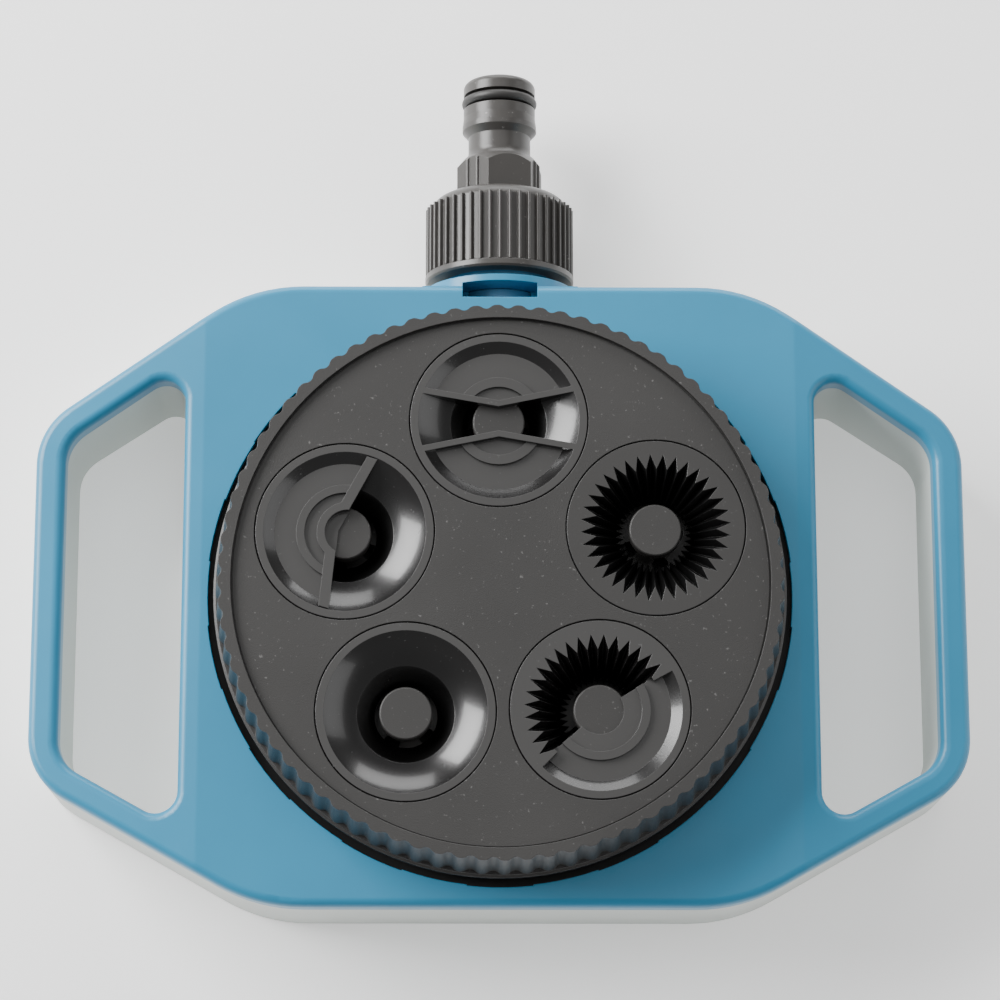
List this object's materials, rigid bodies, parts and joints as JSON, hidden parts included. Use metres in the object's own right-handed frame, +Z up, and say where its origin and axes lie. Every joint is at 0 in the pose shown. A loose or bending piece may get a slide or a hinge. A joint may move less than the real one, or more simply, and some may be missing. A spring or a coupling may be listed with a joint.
{
  "type": "lawn sprinkler",
  "caption": "Low lawn sprinkler with a rotating dial of different spray nozzles, a grip on each side and a hose quick-connect at the rear.",
  "frame": {"origin": "on the ground under the dial's axis", "axes": "+X to the right grip, +Y to the hose connector at the rear, +Z up"},
  "size_m": [0.2142, 0.1997, 0.0546],
  "materials": {
    "blue_cover": "satin moulded blue plastic",
    "grey_base": "light grey moulded plastic",
    "black_plastic": "black moulded plastic",
    "blue_tube": "dark blue moulded plastic",
    "dark_dial": "fine-grained warm dark grey plastic",
    "dark_nozzle": "smooth dark grey plastic",
    "grey_connector": "semi-gloss mid grey plastic",
    "white_plastic": "natural white plastic",
    "red_rubber": "soft red rubber",
    "black_rubber": "black rubber",
    "spring_steel": "stainless spring wire",
    "screw_steel": "stainless steel"
  },
  "bodies": {
    "casing": {"top_cover": "blue_cover", "base_shell": "grey_base", "inner_deck": "black_plastic", "inlet_manifold": "blue_tube", "port_seal": "red_rubber", "seal_spring": "spring_steel", "click_spring": "spring_steel", "click_plunger": "white_plastic", "cover_screws": "screw_steel", "deck_screws": "screw_steel"},
    "dial": {"dial_cap": "dark_dial", "valve_plate": "black_plastic", "cap_screws": "screw_steel", "pivot_screw": "screw_steel", "pivot_washer": "screw_steel", "nozzle_strip": "dark_nozzle", "nozzle_full_star": "dark_nozzle", "nozzle_half_star": "dark_nozzle", "nozzle_full_cone": "dark_nozzle", "nozzle_half_cone": "dark_nozzle", "pin_strip": "dark_dial", "pin_full_star": "dark_dial", "pin_half_star": "dark_dial", "pin_full_cone": "dark_dial", "pin_half_cone": "dark_dial", "gasket_strip": "black_rubber", "gasket_full_star": "black_rubber", "gasket_half_star": "black_rubber", "gasket_full_cone": "black_rubber", "gasket_half_cone": "black_rubber"},
    "nipple": {"hose_nipple": "grey_connector", "nose_ring": "black_rubber", "coupling_washer": "black_rubber", "inlet_filter": "white_plastic"},
    "nut": {"coupling_nut": "grey_connector"}
  },
  "joints": [
    {"name": "dial_turn", "type": "hinge", "parent": "casing", "child": "dial", "pos_m": [0, 0, 0], "axis": [0, 0, 1], "continuous": true},
    {"name": "nipple_slide", "type": "slide", "parent": "casing", "child": "nipple", "axis": [0, 1, 0], "range_m": [0, 0.00727]},
    {"name": "nut_turn", "type": "hinge", "parent": "nipple", "child": "nut", "pos_m": [0, 0.088, 0.019], "axis": [0, 1, 0], "range_deg": [0, 1440]}
  ],
  "couplings": [
    {"joint": "nipple_slide", "follows": "nut_turn", "m_per_rad": 0.00028871}
  ]
}
